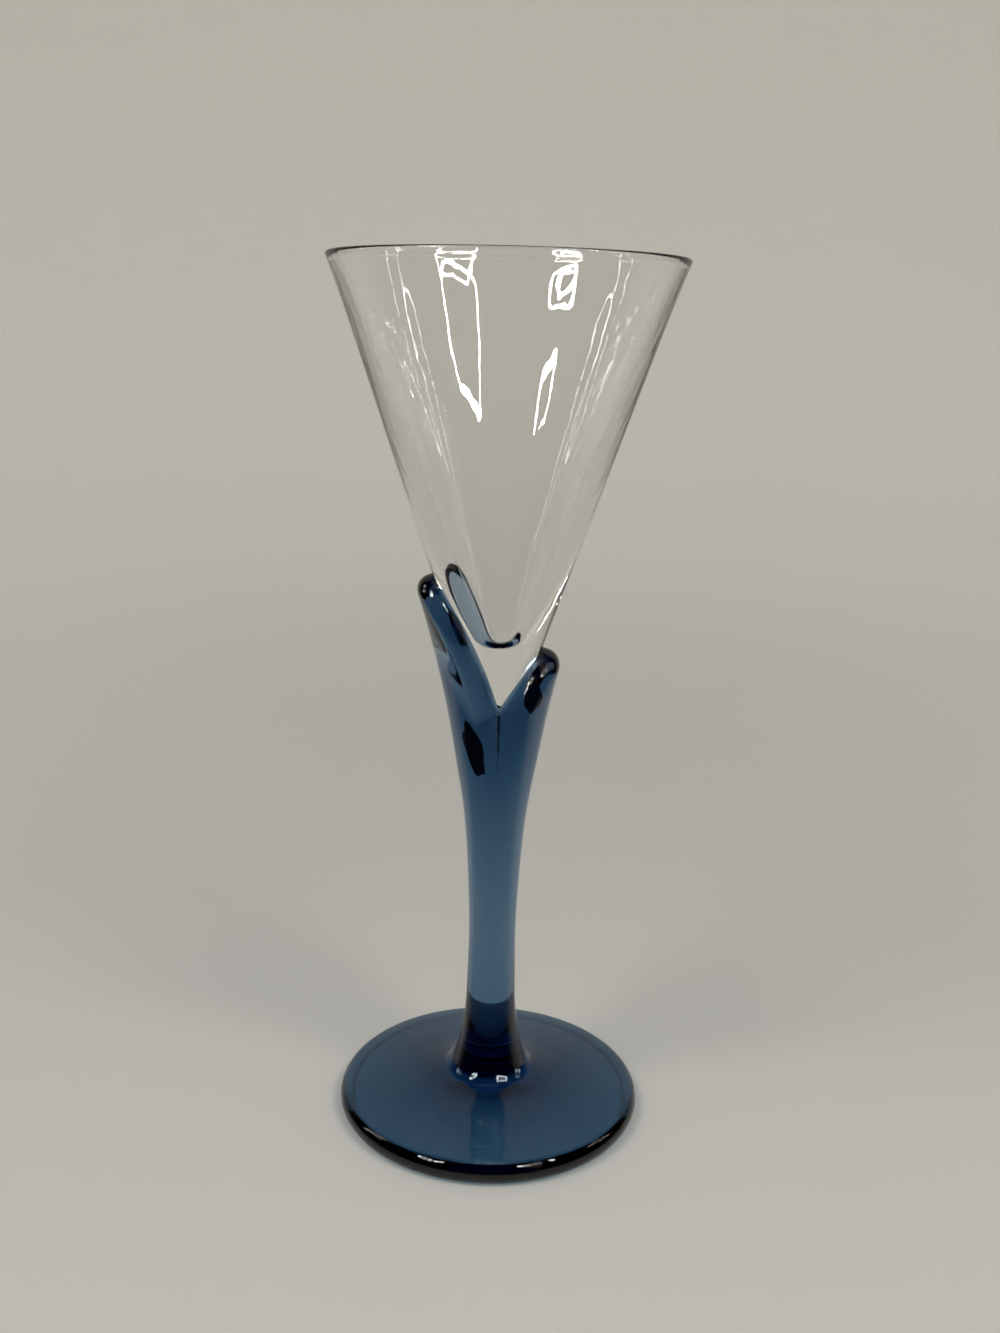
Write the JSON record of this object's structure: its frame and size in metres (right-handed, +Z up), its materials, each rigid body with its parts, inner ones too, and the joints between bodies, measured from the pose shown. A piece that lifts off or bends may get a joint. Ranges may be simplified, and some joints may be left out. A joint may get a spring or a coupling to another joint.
{
  "type": "stemmed glass",
  "caption": "Tall drinking glass: clear cone bowl seated in a blue stem that opens into a leafed cup round the bowl's tip, on a round blue foot.",
  "frame": {"origin": "middle of the ring that the glass stands on, under the foot", "axes": "+Z up along the glass's axis; -Y faces the notch seen in front; the tall leaf is at -X"},
  "size_m": [0.081, 0.081, 0.21],
  "materials": {
    "clear_glass": "polished clear",
    "blue_glass": "polished grey-blue, tinted through"
  },
  "bodies": {
    "root": {"bowl": "clear_glass", "calyx_stem": "blue_glass", "foot": "blue_glass"}
  },
  "joints": []
}
